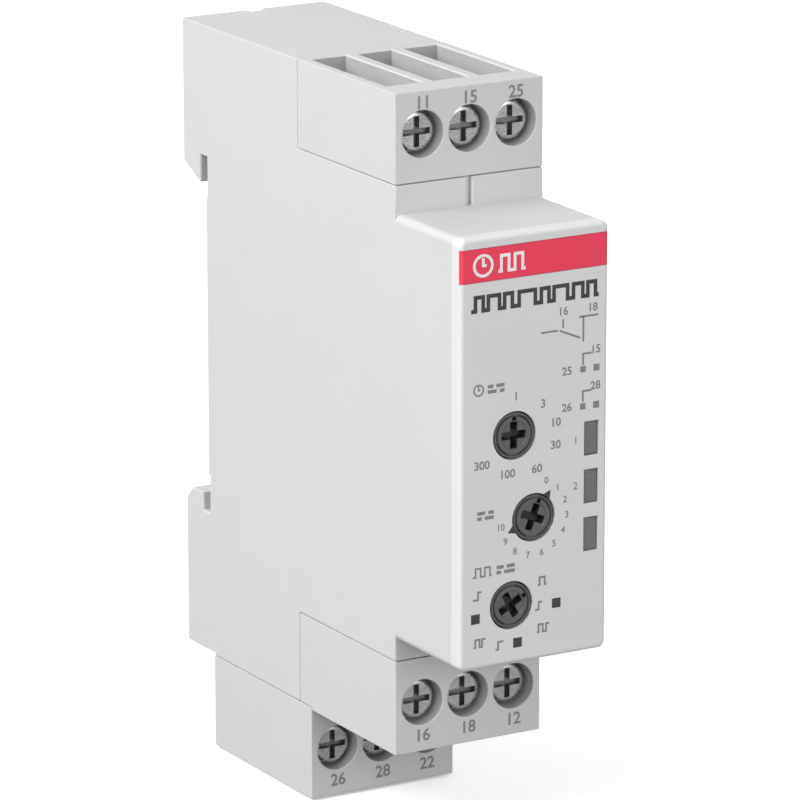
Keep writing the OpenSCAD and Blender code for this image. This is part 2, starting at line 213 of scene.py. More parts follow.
def make_floor():
    bm = bmesh.new()
    bmesh.ops.create_grid(bm, x_segments=1, y_segments=1, size=FLOOR_REACH)
    bmesh.ops.translate(bm, verts=bm.verts, vec=(0, 0, cad_box[0][2] - FLOOR_GAP))
    mesh = bpy.data.meshes.new("floor")
    bm.to_mesh(mesh)
    bm.free()
    floor = bpy.data.objects.new("floor", mesh)
    scene.collection.objects.link(floor)
    return floor


floor = make_floor()
print("floor at", round(cad_box[0][2] / MM, 1), "mm")

# %% [markdown]
# Every finish is a small node tree on object coordinates. Painted pictures could do the same, but they need
# files and an unwrapped surface, and they blur close up.

# %% Finish helpers
def new_material(name, colour, metallic=0.0, rough=0.5):
    material = bpy.data.materials.new(name)
    material.use_nodes = True
    material.diffuse_color = (*colour, 1)
    shader = material.node_tree.nodes["Principled BSDF"]
    shader.inputs["Base Color"].default_value = (*colour, 1)
    shader.inputs["Metallic"].default_value = metallic
    shader.inputs["Roughness"].default_value = rough
    return material, material.node_tree, shader


print("material helper ready")

# %% [markdown]
# A real surface never repeats exactly, so noise gives the cloudy patches, the grain and the fine drawn
# lines. Its size is in metres: a grain of 0.16 mm is that size on every piece. Stretched coordinates turn
# grain into lines.

# %% Pattern helpers
def place_node(tree, stretch=(1, 1, 1)):
    mapping = add(tree, "Mapping", {"Scale": stretch})
    tree.links.new(add(tree, "TexCoord").outputs["Object"], mapping.inputs["Vector"])
    return mapping.outputs["Vector"]


def noise(tree, place, size, detail=3.0, rough=0.55):
    """Noise whose features are about size metres across."""
    node = add(tree, "TexNoise", {"Scale": 1.0 / size, "Detail": detail, "Roughness": rough})
    tree.links.new(place, node.inputs["Vector"])
    return node.outputs["Fac"]


def ramp_colour(tree, value, dark, light, start=0.35, end=0.65):
    ramp = add(tree, "ValToRGB")
    for element, position, colour in zip(ramp.color_ramp.elements, (start, end), (dark, light)):
        element.position = position
        element.color = (*colour, 1)
    tree.links.new(value, ramp.inputs["Fac"])
    return ramp.outputs["Color"]


def spread(tree, value, least, most, start=0.3, end=0.7):
    node = add(tree, "MapRange", {"From Min": start, "From Max": end, "To Min": least, "To Max": most})
    tree.links.new(value, node.inputs["Value"])
    return node.outputs["Result"]


print("pattern helpers ready")

# %% [markdown]
# Mould grain is too small to model, so a bump bends the light where the real surface would, and one bump
# can lie over another. A mixed colour takes a plain colour or a pattern for each side.

# %% Relief and colour helpers
def bump(tree, shader, value, depth, strength=1.0, over=None):
    node = add(tree, "Bump", {"Distance": depth, "Strength": strength})
    tree.links.new(value, node.inputs["Height"])
    if over:
        tree.links.new(over, node.inputs["Normal"])
    tree.links.new(node.outputs["Normal"], shader.inputs["Normal"])
    return node.outputs["Normal"]


def shade(colour, factor):
    return tuple(min(1.0, c * factor) for c in colour)


def mix_colour(tree, factor, first, second):
    node = add(tree, "Mix")
    node.data_type = "RGBA"
    tree.links.new(factor, node.inputs["Factor"])
    for value, socket in ((first, node.inputs[6]), (second, node.inputs[7])):
        if isinstance(value, tuple):
            socket.default_value = (*value, 1)
        else:
            tree.links.new(value, socket)
    return node.outputs[2]


print("relief and colour helpers ready")

# %% [markdown]
# A moulding has a fine grain from the mould, faint cloudy patches in the colour, and patches in the gloss.
# One flat colour could do, but it looks like a drawing, so even the smoothest plastic drifts a little.
# Handled pieces also get rubbed marks: noise pulled long along one axis.

# %% Moulded plastic
def moulded_plastic(name, colour, rough=0.5, grain=0.16 * MM, depth=0.004 * MM, drift=0.008,
                    scuffs=0.0):
    material, tree, shader = new_material(name, colour, rough=rough)
    place = place_node(tree)
    clouds = noise(tree, place, 9 * MM, detail=4)
    body = ramp_colour(tree, clouds, shade(colour, 1 - drift), shade(colour, 1 + drift))
    if scuffs:
        rubbed = noise(tree, place_node(tree, (1, 1, 0.15)), 0.5 * MM, detail=6)
        marks = spread(tree, rubbed, 0, scuffs, 0.6, 0.8)
        body = mix_colour(tree, marks, body, shade(colour, 1.25))
    tree.links.new(body, shader.inputs["Base Color"])
    patches = noise(tree, place, 3 * MM)
    tree.links.new(spread(tree, patches, rough - 0.06, rough + 0.06), shader.inputs["Roughness"])
    fine = bump(tree, shader, noise(tree, place, grain, detail=2), depth, 0.5)
    bump(tree, shader, noise(tree, place, 14 * MM, detail=1), 0.02 * MM, 0.15, over=fine)
    return material


print("moulded plastic ready")

# %% [markdown]
# Screws and clamps are zinc plated steel, which is never an even mirror: fine drawn lines, with lighter and
# darker patches. An anisotropic shader could stretch the highlight, but at this size lines do it more
# plainly.

# %% Plated metal
def plated_metal(name, colour, rough=0.3):
    material, tree, shader = new_material(name, colour, metallic=1.0, rough=rough)
    place = place_node(tree)
    lines = noise(tree, place_node(tree, (1, 1, 14)), 0.5 * MM, detail=1)
    patches = noise(tree, place, 1.2 * MM, detail=3)
    tree.links.new(ramp_colour(tree, patches, shade(colour, 0.86), shade(colour, 1.08)),
                   shader.inputs["Base Color"])
    tree.links.new(spread(tree, lines, rough - 0.1, rough + 0.14), shader.inputs["Roughness"])
    bump(tree, shader, lines, 0.0012 * MM, 0.6)
    return material


print("plated metal ready")

# %% [markdown]
# The housing is light grey plastic with a fine texture. The caps come from another mould, so their tone
# differs a little, and the panel has a slightly paler foil on it. One grey could serve for all, but these
# small steps tell the eye that they are separate mouldings.

# %% Finishes
LIGHT_GREY = (0.60, 0.61, 0.605)
CAP_GREY = (0.595, 0.60, 0.595)
PANEL_GREY = (0.70, 0.708, 0.714)

shell_finish = moulded_plastic("shell_plastic", LIGHT_GREY, rough=0.55)
cap_finish = moulded_plastic("cap_plastic", CAP_GREY, rough=0.52, grain=0.14 * MM)
# Painted shade: the caps' grey made darker for the walls of their holes and wire channels.
cavity_painted_shade_finish = moulded_plastic("cavity_plastic_painted_shade", shade(CAP_GREY, 0.7), rough=0.7, depth=0.01 * MM)
panel_finish = moulded_plastic("panel_plastic", PANEL_GREY, rough=0.5, grain=0.12 * MM)
band_finish = moulded_plastic("band_ink", (0.88, 0.05, 0.11), rough=0.35, grain=0.3 * MM,
                              depth=0.002 * MM)
knob_finish = moulded_plastic("knob_plastic", (0.115, 0.118, 0.122), rough=0.42, grain=0.1 * MM,
                              scuffs=0.3)
window_finish = moulded_plastic("window_plastic", (0.175, 0.18, 0.185), rough=0.25, depth=0.001 * MM)
latch_finish = moulded_plastic("latch_plastic", (0.16, 0.165, 0.17), rough=0.45)
black_finish = moulded_plastic("black_plastic", (0.03, 0.03, 0.034), rough=0.5)
relay_finish = moulded_plastic("relay_plastic", (0.07, 0.07, 0.08), rough=0.42)
trimmer_finish = moulded_plastic("trimmer_plastic", (0.05, 0.16, 0.38), rough=0.4)
film_finish = moulded_plastic("film_case_plastic", (0.70, 0.46, 0.08), rough=0.4)
varistor_finish = moulded_plastic("varistor_epoxy", (0.05, 0.14, 0.45), rough=0.25, grain=0.6 * MM,
                                  depth=0.02 * MM)
screw_finish = plated_metal("screw_zinc", (0.74, 0.75, 0.76), rough=0.28)
# Painted shade: a dark zinc for the inside of the screws' driver crosses, where shade falls.
recess_painted_shade_finish = plated_metal("recess_zinc_painted_shade", (0.28, 0.28, 0.285), rough=0.5)
clamp_finish = plated_metal("clamp_zinc", (0.60, 0.60, 0.59), rough=0.36)
contact_finish = plated_metal("contact_tin", (0.74, 0.68, 0.55), rough=0.33)
spring_finish = plated_metal("spring_wire", (0.55, 0.55, 0.57), rough=0.25)
iron_finish = plated_metal("armature_nickel", (0.50, 0.50, 0.50), rough=0.35)
copper_finish = plated_metal("winding_copper", (0.72, 0.33, 0.17), rough=0.3)
lamp_finish = moulded_plastic("lamp_epoxy", (0.42, 0.50, 0.36), rough=0.15, grain=0.3 * MM,
                              depth=0.001 * MM)
ink_grey = moulded_plastic("ink_grey", (0.23, 0.235, 0.24), rough=0.6)
ink_dark = moulded_plastic("ink_dark", (0.045, 0.047, 0.05), rough=0.6)
ink_white = moulded_plastic("ink_white", (0.88, 0.88, 0.88), rough=0.5, drift=0.01)
floor_finish = moulded_plastic("floor_paper", (0.93, 0.93, 0.93), rough=0.8, grain=2 * MM, drift=0.01)
print("finishes:", len(bpy.data.materials))

# %% [markdown]
# A white floor throws so much light back that the undersides look lit from below. So the floor glows a
# little for the eye and throws back less light than it shows, which is easier to control than a smaller
# floor.

# %% Floor finish
def dim_bounce(material, glow, bounce):
    """The studio floor glows a little to the eye, and throws back less light than it shows."""
    tree = material.node_tree
    shader = tree.nodes["Principled BSDF"]
    shader.inputs["Emission Color"].default_value = (1, 1, 1, 1)
    shader.inputs["Emission Strength"].default_value = glow
    dim = add(tree, "BsdfDiffuse", {"Color": (bounce, bounce, bounce, 1)})
    mix = add(tree, "MixShader")
    tree.links.new(add(tree, "LightPath").outputs["Is Camera Ray"], mix.inputs["Fac"])
    tree.links.new(dim.outputs[0], mix.inputs[1])
    tree.links.new(shader.outputs[0], mix.inputs[2])
    tree.links.new(mix.outputs[0], tree.nodes["Material Output"].inputs["Surface"])


floor.data.materials.append(floor_finish)
dim_bounce(floor_finish, glow=0.36, bounce=0.28)
print("floor finished")

# %% [markdown]
# A mesh becomes a piece in the same few steps each time. Smooth shading all over makes flat faces look like
# pillows, and flat shading shows the facets of round ones. So the faces are smooth, and edges that turn
# sharply are marked sharp.

# %% Shading and finishing a piece
BROAD = 1.5 * MM * MM


def split_shading(bm, sharp):
    """Smooth faces with sharp edges between them. Where two broad faces that look different ways meet in
    one point, as at the end of a bevel, every edge of that point is sharp, or the faces look pillowed."""
    for face in bm.faces:
        face.smooth = True
    for edge in bm.edges:
        edge.smooth = edge.is_manifold and edge.calc_face_angle() < math.radians(sharp)
    for vert in bm.verts:
        broad = [f.normal for f in vert.link_faces if f.calc_area() > BROAD]
        if any(a.dot(b) < 0.7 for a in broad for b in broad):
            for edge in vert.link_edges:
                edge.smooth = False


def finish_piece(bm, name, body, material, nodes=(), sharp=35):
    split_shading(bm, sharp)
    mesh = bpy.data.meshes.new(name)
    bm.to_mesh(mesh)
    bm.free()
    mesh.materials.append(material)
    piece = bpy.data.objects.new(name, mesh)
    scene.collection.objects.link(piece)
    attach(piece, body)
    if nodes:
        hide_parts(*nodes)
    return piece


print("a broad face is over", round(BROAD / MM ** 2, 2), "square mm")

# %% [markdown]
# A moulding's outer edges are never perfectly sharp, and the thin highlight along them makes plastic look
# like plastic. The shapes could be drawn again, but a copy of the CAD keeps the true size: it is welded,
# its flat triangles are joined, and a bevel rounds the outer edges. Inner edges stay sharp, as they are
# where two moulds meet.

# %% Soft copies of CAD shapes
EDGE_ANGLE = math.radians(40)
FLAT_ANGLE = math.radians(0.6)
WELD = 0.0005 * MM


def node_copy(node):
    bm = bmesh.new()
    bm.from_mesh(frame["nodes"][node].data)
    bmesh.ops.remove_doubles(bm, verts=bm.verts, dist=WELD)
    bmesh.ops.dissolve_limit(bm, angle_limit=FLAT_ANGLE, verts=bm.verts, edges=bm.edges)
    return bm


def soften(bm, edges, width, segments):
    bmesh.ops.bevel(bm, geom=edges, offset=width, affect="EDGES", segments=segments, profile=0.5,
                    material=-1)


def round_edges(bm, width, segments):
    edges = [e for e in bm.edges if e.is_manifold and e.is_convex and e.calc_face_angle() > EDGE_ANGLE]
    bmesh.ops.bevel(bm, geom=edges, offset=width, offset_type="OFFSET", affect="EDGES",
                    segments=segments, profile=0.5, material=-1, clamp_overlap=False)
    bmesh.ops.dissolve_degenerate(bm, dist=WELD, edges=bm.edges)


def body_of(node):
    return next(b for b, nodes in frame["record"]["behaviour"]["bodies"].items() if node in nodes)


def soft_copy(node, material, width, segments=2):
    bm = node_copy(node)
    if width:
        round_edges(bm, width, segments)
    piece = finish_piece(bm, node + "_piece", body_of(node), material, [node])
    modifier = piece.modifiers.new("weighted", "WEIGHTED_NORMAL")
    modifier.keep_sharp = True
    return piece


print("edges over", round(math.degrees(EDGE_ANGLE)), "degrees are rounded")

# %% [markdown]
# The inside of a wire channel or of a driver cross is duller than the outside, and it is painted darker:
# painted shade that stands in for the shade falling into these hollows. A separate piece could line it,
# but it would lie on the same surface and flicker. A second material on the faces that lie inside keeps
# one clean mesh.

# %% Painted shade in hollows
def line_inside(piece, node, material, margin):
    """Painted shade: a darker second finish on the faces inside a node's box, such as the walls of its
    holes.
    """
    margins = Vector((margin, margin, margin))
    inner_low, inner_high = low(node) + margins, high(node) - margins
    piece.data.materials.append(material)
    for polygon in piece.data.polygons:
        if all(a < b < c for a, b, c in zip(inner_low, polygon.center, inner_high)):
            polygon.material_index = 1


def finish_recess(piece, node, material, start, depth, reach):
    """Painted shade: a darker second finish on the walls and floor of the cross cut in a node's front."""
    piece.data.materials.append(material)
    centre = Vector((middle(node).x, low(node).y, middle(node).z))
    for polygon in piece.data.polygons:
        place = polygon.center - centre
        if start < place.y < depth and max(abs(place.x), abs(place.z)) < reach:
            polygon.material_index = 1


print("second finishes ready")

# %% [markdown]
# The shell and the three terminal caps snap together, and the seams show as fine grooves. A dark line could
# be drawn for a seam, but each CAD piece has a small gap round it, so the bevels make real grooves. The
# panel's edge is round already and needs no bevel.

# %% Housing shell, panel and caps
shell = soft_copy("housing_shell", shell_finish, 0.2 * MM)
panel = soft_copy("front_panel", panel_finish, 0.0)
caps = []
for block in BLOCKS:
    caps.append(soft_copy(f"{block}_terminal_cap", cap_finish, 0.16 * MM))
    # Painted shade: the faces inside each cap's box, the walls of its holes and wire channels, get the
    # darker grey.
    line_inside(caps[-1], f"{block}_terminal_cap", cavity_painted_shade_finish, 0.3 * MM)
print("shell", len(shell.data.polygons), "panel", len(panel.data.polygons))

# %% [markdown]
# Screws, knobs, coils and the capacitor are round. A cylinder could be scaled and cut, but each step would
# need an operation of its own. An outline of (radius, place along the axis) pairs, spun once round, gives
# them all at once. On the axis a spin leaves a heap of points, so doubles are merged.

# %% Turned shapes
AXES = {"x": Vector((1, 0, 0)), "y": Vector((0, 1, 0)), "z": Vector((0, 0, 1))}


def turned(bm, outline, centre, axis, steps=48):
    along = AXES[axis]
    outward = AXES["z"] if axis == "x" else AXES["x"]
    before = set(bm.verts)
    points = [bm.verts.new(Vector(centre) + outward * radius + along * place) for radius, place in outline]
    edges = [bm.edges.new(pair) for pair in zip(points, points[1:])]
    bmesh.ops.spin(bm, geom=points + edges, cent=centre, axis=along, angle=math.tau, steps=steps,
                   use_merge=True, use_duplicate=False)
    made = [v for v in bm.verts if v not in before]
    bmesh.ops.remove_doubles(bm, verts=made, dist=0.003 * MM)
    faces = list({f for v in bm.verts if v not in before for f in v.link_faces})
    bmesh.ops.recalc_face_normals(bm, faces=faces)


print("turning ready")

# %% [markdown]
# A driver cross is pressed straight into a head. A boolean cut leaves thin slivers on a round face. Here
# planes score the face along the cross's edges, and the faces inside the cross are extruded and pushed in,
# which leaves clean walls.

# %% Carving
def linked(faces):
    return faces + list({e for f in faces for e in f.edges}) + list({v for f in faces for v in f.verts})


def score(bm, chosen, centre, half, directions=("x", "z")):
    for name in directions:
        for side in (-1, 1):
            place = Vector(centre) + AXES[name] * half * side
            bmesh.ops.bisect_plane(bm, geom=linked([f for f in bm.faces if chosen(f)]), plane_co=place,
                                   plane_no=AXES[name], dist=1e-8)


def push_in(bm, chosen, depth):
    faces = [f for f in bm.faces if chosen(f)]
    made = bmesh.ops.extrude_face_region(bm, geom=faces)["geom"]
    bmesh.ops.translate(bm, verts=[v for v in made if isinstance(v, bmesh.types.BMVert)], vec=(0, depth, 0))
    bmesh.ops.delete(bm, geom=[f for f in faces if f.is_valid], context="FACES")


def on_front(front, centre, reach, least=0.0):
    """Picks the faces that look forwards at depth front, within reach of the centre."""
    def chosen(face):
        middle_point = face.calc_center_median()
        away = math.hypot(middle_point.x - centre[0], middle_point.z - centre[2])
        return abs(middle_point.y - front) < 0.03 * MM and least < away < reach
    return chosen


def in_cross(front, centre, half, reach):
    near = on_front(front, centre, reach)

    def chosen(face):
        place = face.calc_center_median() - Vector(centre)
        return near(face) and min(abs(place.x), abs(place.z)) < half
    return chosen


print("carving ready")

# %% [markdown]
# A thread and a spring are one shape: a section that turns round an axis while it climbs. The Screw
# modifier could make it, but its ends stay open. A spin with a small step along the axis gives the same
# helix, and two caps close it.

# %% Threads and springs
def helix(bm, section, centre, axis, pitch, turns, steps):
    """Spin a closed section round an axis while it climbs by pitch each turn."""
    points = [bm.verts.new(place) for place in section]
    face = bm.faces.new(points)
    start_edges = list(face.edges)
    bm.faces.remove(face)
    made = bmesh.ops.spin(bm, geom=points + start_edges, cent=centre, axis=AXES[axis],
                          angle=math.tau * turns, dvec=AXES[axis] * (pitch / steps),
                          steps=int(turns * steps), use_merge=False)
    last = [e for e in made["geom_last"] if isinstance(e, bmesh.types.BMEdge)]
    bmesh.ops.contextual_create(bm, geom=start_edges)
    bmesh.ops.contextual_create(bm, geom=last)


print("helix ready")

# %% [markdown]
# Each terminal screw has a plated cheese head with a driver cross, sunk in its recess, and an M3 thread
# that pulls its clamp. The thread could be bump only, but it is seen from above through the wire channel,
# so it is modelled. The core is turned separately, which keeps both ends closed.

# %% Terminal screws
THREAD_PITCH = 0.5 * MM
THREAD_CORE = 1.2 * MM
THREAD_CREST = 1.42 * MM
THREAD_FLANK = 0.2 * MM
THREAD_TOP = 0.03 * MM
HEAD_LENGTH = 1.5 * MM
HEAD_FLAT = 1.6 * MM
SCREW_CROSS_HALF = 0.33 * MM
SCREW_CROSS_DEPTH = 0.85 * MM
HEAD_RADIUS = (high("upper_screw_left").x - low("upper_screw_left").x) / 2
TURN_STEPS = 20


def make_screw(block, side):
    node = f"{block}_screw_{side}"
    centre = Vector((middle(node).x, 0, middle(node).z))
    front, tip = low(node).y, high(node).y
    shoulder = front + HEAD_LENGTH
    bm = bmesh.new()
    outline = [(0, front), (HEAD_FLAT, front), (HEAD_RADIUS - 0.22 * MM, front),
               (HEAD_RADIUS - 0.07 * MM, front + 0.06 * MM), (HEAD_RADIUS, front + 0.22 * MM),
               (HEAD_RADIUS, shoulder - 0.1 * MM), (HEAD_RADIUS - 0.1 * MM, shoulder),
               (THREAD_CORE, shoulder), (THREAD_CORE, tip - 0.35 * MM), (0.85 * MM, tip), (0, tip)]
    turned(bm, outline, centre, "y", steps=44)
    centre.y = front
    score(bm, on_front(front, centre, HEAD_FLAT), centre, SCREW_CROSS_HALF)
    push_in(bm, in_cross(front, centre, SCREW_CROSS_HALF, HEAD_FLAT), SCREW_CROSS_DEPTH)
    thread_start = shoulder + 0.3 * MM
    turns = int((tip - 0.5 * MM - thread_start - THREAD_PITCH) / THREAD_PITCH)
    root = THREAD_CORE - 0.05 * MM
    section = [Vector((centre.x + radius, thread_start + place, centre.z)) for radius, place in
               ((root, -THREAD_FLANK), (THREAD_CREST, -THREAD_TOP),
                (THREAD_CREST, THREAD_TOP), (root, THREAD_FLANK))]
    helix(bm, section, Vector((centre.x, 0, centre.z)), "y", THREAD_PITCH, turns, TURN_STEPS)
    bmesh.ops.recalc_face_normals(bm, faces=bm.faces)
    screw = finish_piece(bm, node + "_piece", node, screw_finish, [node], sharp=38)
    # Painted shade: dark zinc on the faces less than 0.9 mm behind the head's front within a square round
    # the axis: the driver cross, and at the square's corners parts of the head's rim.
    finish_recess(screw, node, recess_painted_shade_finish, 0.01 * MM, SCREW_CROSS_DEPTH + 0.05 * MM,
                  HEAD_FLAT + 0.02 * MM)
    return screw


screws = [make_screw(block, side) for block in BLOCKS for side in SIDES]
print("screws", len(screws), "with", len(screws[0].data.polygons), "faces each")

# %% [markdown]
# The knobs are set with a screwdriver. Each has a sunk middle with a deep cross, a ring with a pointer
# groove, and a narrow groove inside the rim. They are carved pointing straight up, because the cross's
# planes then follow the axes, and turned to their setting afterwards.

# %% Knobs
KNOB_REST = {"range": 0, "fine": 22, "function": 62}
KNOB_CROSS_HALF = 0.42 * MM
KNOB_CROSS_REACH = 1.42 * MM
KNOB_CROSS_DEPTH = 1.15 * MM
MIDDLE_DEPTH = 0.12 * MM
RING_INNER, RING_OUTER = 1.56 * MM, 1.92 * MM
POINTER_HALF = 0.24 * MM
KNOB_LENGTH = 3.5 * MM
KNOB_RADIUS = 2.4 * MM
SHAFT_RADIUS = 1.0 * MM


def make_knob(kind):
    node = f"{kind}_knob"
    centre = Vector((middle(node).x, 0, middle(node).z))
    front, tip = low(node).y, high(node).y
    floor_y = front + MIDDLE_DEPTH
    back_y = front + KNOB_LENGTH
    bm = bmesh.new()
    outline = [(0, floor_y), (KNOB_CROSS_REACH, floor_y), (1.5 * MM, floor_y), (RING_INNER, front),
               (RING_OUTER, front), (1.98 * MM, front + 0.22 * MM), (2.12 * MM, front + 0.22 * MM),
               (2.18 * MM, front + 0.02 * MM), (2.28 * MM, front + 0.02 * MM),
               (KNOB_RADIUS - 0.03 * MM, front + 0.1 * MM), (KNOB_RADIUS, front + 0.25 * MM),
               (KNOB_RADIUS, back_y), (SHAFT_RADIUS, back_y), (SHAFT_RADIUS, tip - 0.15 * MM),
               (SHAFT_RADIUS - 0.15 * MM, tip), (0, tip)]
    turned(bm, outline, centre, "y", steps=56)
    score(bm, on_front(floor_y, centre, KNOB_CROSS_REACH), centre, KNOB_CROSS_HALF)
    push_in(bm, in_cross(floor_y, centre, KNOB_CROSS_HALF, KNOB_CROSS_REACH), KNOB_CROSS_DEPTH)
    on_ring = on_front(front, centre, RING_OUTER, RING_INNER)
    score(bm, on_ring, centre, POINTER_HALF, ["x"])

    def on_pointer(face):
        place = face.calc_center_median() - centre
        return on_ring(face) and abs(place.x) < POINTER_HALF and place.z > 0
    push_in(bm, on_pointer, 0.5 * MM)
    turn = Matrix.Rotation(math.radians(KNOB_REST[kind]), 3, "Y")
    bmesh.ops.rotate(bm, verts=bm.verts, cent=centre, matrix=turn)
    bmesh.ops.recalc_face_normals(bm, faces=bm.faces)
    knob = finish_piece(bm, node + "_piece", node, knob_finish, [node], sharp=30)
    # Painted shade: the black finish goes on the faces 0.13 to 1.4 mm behind the front inside the ring, the
    # walls and floors of the cross and of the pointer groove.
    finish_recess(knob, node, black_finish, MIDDLE_DEPTH + 0.01 * MM, 1.4 * MM, RING_OUTER + 0.01 * MM)
    return knob


knobs = [make_knob(kind) for kind in KNOBS]
print("knobs", len(knobs))

# %% [markdown]
# The windows are smoked light pipes pressed in from behind. They could be dark patches in the panel's
# finish, but soft edges and the small step to the panel make them read as inserts. The red band is let into
# the panel, and the latch is a strong dark moulding at the back.

# %% Windows, band and latch
for place in ("top", "middle", "bottom"):
    soft_copy(f"window_{place}", window_finish, 0.12 * MM, 3)
soft_copy("red_band", band_finish, 0.0)
soft_copy("rail_latch", latch_finish, 0.25 * MM, 3)
print("windows, band and latch made")

# %% [markdown]
# The print on the housing is a film of ink 0.02 mm thick. It could be a pattern in the finish, but a film
# has crisp edges. A stroke starts as one square face, which is stretched and turned into place and then
# extruded by the film's thickness.

# %% Ink helpers
INK = 0.02 * MM
FACE_FRONT = Matrix.Rotation(math.radians(90), 4, "X")


def put_ink(bm, made):
    """Lays freshly made faces on a surface that looks forwards and gives them the film's thickness."""
    faces = list({f for v in made for f in v.link_faces})
    thick = bmesh.ops.extrude_face_region(bm, geom=faces)["geom"]
    bmesh.ops.translate(bm, verts=[v for v in thick if isinstance(v, bmesh.types.BMVert)], vec=(0, -INK, 0))


def stroke(bm, start, end, width):
    """A line of ink between two places. Steep lines run past their ends and flat ones stop short of them,
    so that the lines of a corner touch and never lie over each other."""
    start, end = Vector(start), Vector(end)
    run = end - start
    turn = Matrix.Rotation(-math.atan2(run.z, run.x), 4, "Y")
    spare = width if abs(run.z) > abs(run.x) else -width
    size = Matrix.Diagonal((run.length + spare, width, 1, 1))
    matrix = Matrix.Translation((start + end) / 2) @ turn @ FACE_FRONT @ size
    made = bmesh.ops.create_grid(bm, x_segments=1, y_segments=1, size=0.5, matrix=matrix)["verts"]
    put_ink(bm, made)


def path(bm, places, width):
    for start, end in zip(places, places[1:]):
        stroke(bm, start, end, width)


def patch(bm, place, radius, segments, turn=0.0):
    """A filled round, square or triangular spot."""
    matrix = Matrix.Translation(place) @ Matrix.Rotation(turn, 4, "Y") @ FACE_FRONT
    spot = bmesh.ops.create_circle(bm, cap_ends=True, segments=segments, radius=radius, matrix=matrix)
    put_ink(bm, spot["verts"])


print("ink is", INK / MM, "mm thick")

# %% [markdown]
# A ring could be many strokes, but a small rectangle spun once round has no joints. The numbers come from a
# text object in the built-in plain font, made a mesh so that it can join the rest of the print.

# %% Rings and numbers
def ring(bm, place, radius, width):
    matrix = Matrix.Translation(Vector(place) + Vector((radius, -INK / 2, 0))) @ Matrix.Diagonal(
        (width, INK, 1, 1))
    made = bmesh.ops.create_grid(bm, x_segments=1, y_segments=1, size=0.5, matrix=matrix)["verts"]
    section = list({e for v in made for e in v.link_edges})
    bmesh.ops.delete(bm, geom=list({f for v in made for f in v.link_faces}), context="FACES_ONLY")
    bmesh.ops.spin(bm, geom=made + section, cent=place, axis=(0, 1, 0), angle=math.tau, steps=32,
                   use_merge=True, use_duplicate=False)


def number(bm, text, place, size, weight=0.0):
    """A number in the built-in plain font, centred on a place."""
    curve = bpy.data.curves.new("number", "FONT")
    curve.body = text
    curve.size = size
    curve.align_x = "CENTER"
    curve.align_y = "CENTER"
    curve.resolution_u = 3
    curve.extrude = INK / 2
    curve.offset = weight
    writing = bpy.data.objects.new("number", curve)
    scene.collection.objects.link(writing)
    depsgraph = bpy.context.evaluated_depsgraph_get()
    mesh = bpy.data.meshes.new_from_object(writing.evaluated_get(depsgraph))
    mesh.transform(Matrix.Translation(Vector(place) + Vector((0, -INK / 2, 0))) @ FACE_FRONT)
    before = set(bm.verts)
    bm.from_mesh(mesh)
    bmesh.ops.remove_doubles(bm, verts=[v for v in bm.verts if v not in before], dist=0.001 * MM)
    bpy.data.objects.remove(writing)
    bpy.data.curves.remove(curve)
    bpy.data.meshes.remove(mesh)


print("rings and numbers ready")

# %% [markdown]
# Pad printing puts all marks of one colour on at once. Each mark could be an object, but one mesh for each
# ink is easier to keep. Places are in millimetres from the panel's lower left corner.

# %% Finishing and placing the print
def finish_print(bm, name, material):
    bmesh.ops.recalc_face_normals(bm, faces=bm.faces)
    return finish_piece(bm, name, "housing", material, sharp=20)


def on_panel(x, z, y=panel_front):
    """A place on the panel's front, in millimetres from its lower left corner."""
    return Vector((-half_width + x * MM, y, panel_low + z * MM))


print("panel corner at", round(panel_low / MM, 1), "mm")

# %% [markdown]
# The band carries a generic mark for what the device does, a clock face and two pulses in white. Below it
# the same wave runs as a dark timing line. A square wave could be one outline, but as a path of strokes it
# needs only its widths, and one function draws every wave on the panel.

# %% Marks on and under the band
def square_wave(bm, left, low_z, high_z, widths, width, y=panel_front):
    """Pulses from left to right: every second width is a pulse, and the others are the gaps."""
    places = [on_panel(left, low_z, y)]
    x, level = left, low_z
    for step in widths:
        x += step
        places.append(on_panel(x, level, y))
        level = high_z if level == low_z else low_z
        places.append(on_panel(x, level, y))
    path(bm, places[:-1], width)


def clock(bm, x, z, radius, width, y=panel_front):
    ring(bm, on_panel(x, z, y), radius * MM, width)
    path(bm, [on_panel(x, z + radius * 0.6, y), on_panel(x, z, y), on_panel(x + radius * 0.5, z, y)], width)


band_front = low("red_band").y
white_mark = bmesh.new()
clock(white_mark, 2.7, 42.1, 1.05, 0.3 * MM, band_front)
square_wave(white_mark, 4.3, 41.3, 42.9, (0.5, 0.9, 0.7, 0.9, 0.5), 0.32 * MM, band_front)
finish_print(white_mark, "band_mark", ink_white)

dark_print = bmesh.new()
PULSES = (0.7, 0.9, 0.6, 1.3, 0.6, 0.9, 0.8, 1.9, 0.7, 0.9, 0.6, 1.6, 0.7, 1.1, 0.6, 0.9, 0.6)
square_wave(dark_print, 1.1, 37.5, 38.9, PULSES, 0.42 * MM)
print("marks made")

# %% [markdown]
# The range dial has plain numbers in rising steps. On such a crowded panel they don't follow one circle, so
# each has a place of its own. The fine knob's even scale does, so a loop places its numbers by angle, with
# a small wedge near each end.

# %% Dial numbers
grey_print = bmesh.new()
DIAL_TEXT = 1.25 * MM
RANGE_MARKS = {"1": (6.6, 28.1), "3": (9.8, 26.9), "10": (11.3, 24.75), "30": (11.3, 22.4),
               "60": (9.1, 20.2), "100": (5.6, 20.1), "300": (2.6, 21.4)}
for text, (x, z) in RANGE_MARKS.items():
    number(grey_print, text, on_panel(x, z), DIAL_TEXT, 0.02 * MM)


